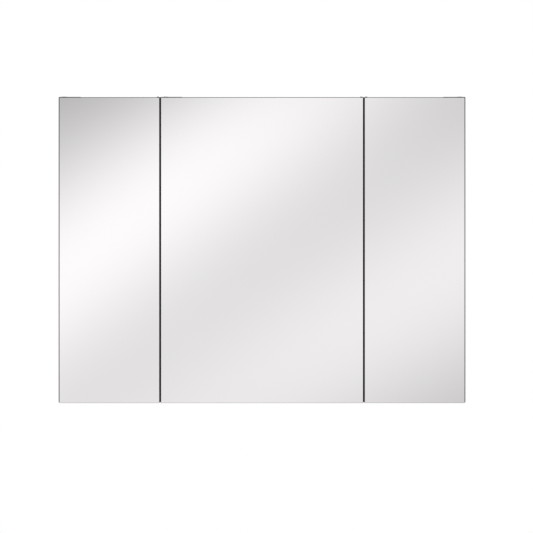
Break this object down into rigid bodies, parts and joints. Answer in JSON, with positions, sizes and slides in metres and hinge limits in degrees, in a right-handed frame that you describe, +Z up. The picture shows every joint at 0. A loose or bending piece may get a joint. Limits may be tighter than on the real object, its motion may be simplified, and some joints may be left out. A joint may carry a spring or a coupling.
{
  "type": "medicine cabinet with mirror",
  "caption": "Wall-hung medicine cabinet with frameless mirrored doors on overlay pivot hinges, glass shelves on pins and keyhole hangers at the back.",
  "frame": {"origin": "midway between the round openings of the two hanging keyholes, in the plane of the wall", "axes": "+X to the right as seen from the room, +Y into the wall, +Z up; the mirrored doors face -Y"},
  "size_m": [0.8, 0.1616, 0.602],
  "materials": {
    "board": "matte graphite melamine facing",
    "back_board": "matte graphite lacquered hardboard",
    "mirror": "silvered float glass with a ground arris",
    "shelf_glass": "clear float glass with eased edges",
    "zinc": "zinc plated",
    "dark_steel": "dark passivated sheet steel",
    "steel": "bright nickel plated",
    "nylon": "dark grey nylon",
    "rubber": "soft dark rubber",
    "housing_plastic": "dark moulded plastic",
    "magnet": "bare ferrite",
    "beech": "fluted beech dowel"
  },
  "bodies": {
    "cabinet": {"left_side": "board", "right_side": "board", "top_panel": "board", "bottom_panel": "board", "left_partition": "board", "right_partition": "board", "back_panel": "back_board", "hanging_rail": "board", "keyhole_plates": "zinc", "keyhole_plate_screws": "steel", "cam_locks": "zinc", "cam_bolts": "steel", "dowels": "beech", "panel_screws": "zinc", "back_screws": "zinc", "top_pivot_plates": "dark_steel", "bottom_pivot_plates": "dark_steel", "pivot_pins": "steel", "pivot_plate_screws": "steel", "door_pads": "rubber", "catch_housings": "housing_plastic", "catch_magnets": "magnet", "catch_poles": "steel", "catch_screws": "steel", "left_upper_shelf": "shelf_glass", "left_lower_shelf": "shelf_glass", "centre_upper_shelf": "shelf_glass", "centre_lower_shelf": "shelf_glass", "right_upper_shelf": "shelf_glass", "right_lower_shelf": "shelf_glass", "left_shelf_pins": "steel", "centre_shelf_pins": "steel", "right_shelf_pins": "steel"},
    "left_door": {"left_door_board": "board", "left_door_mirror": "mirror", "left_door_bushes": "nylon", "left_strike_plate": "zinc", "left_strike_screw": "steel"},
    "centre_door": {"centre_door_board": "board", "centre_door_mirror": "mirror", "centre_door_bushes": "nylon", "centre_strike_plate": "zinc", "centre_strike_screw": "steel"},
    "right_door": {"right_door_board": "board", "right_door_mirror": "mirror", "right_door_bushes": "nylon", "right_strike_plate": "zinc", "right_strike_screw": "steel"}
  },
  "joints": [
    {"name": "left_door_hinge", "type": "hinge", "parent": "cabinet", "child": "left_door", "pos_m": [-0.3894, -0.1541, 0], "axis": [0, 0, -1], "range_deg": [0, 95]},
    {"name": "centre_door_hinge", "type": "hinge", "parent": "cabinet", "child": "centre_door", "pos_m": [-0.1899, -0.1541, 0], "axis": [0, 0, -1], "range_deg": [0, 95]},
    {"name": "right_door_hinge", "type": "hinge", "parent": "cabinet", "child": "right_door", "pos_m": [0.3894, -0.1541, 0], "axis": [0, 0, 1], "range_deg": [0, 95]}
  ]
}
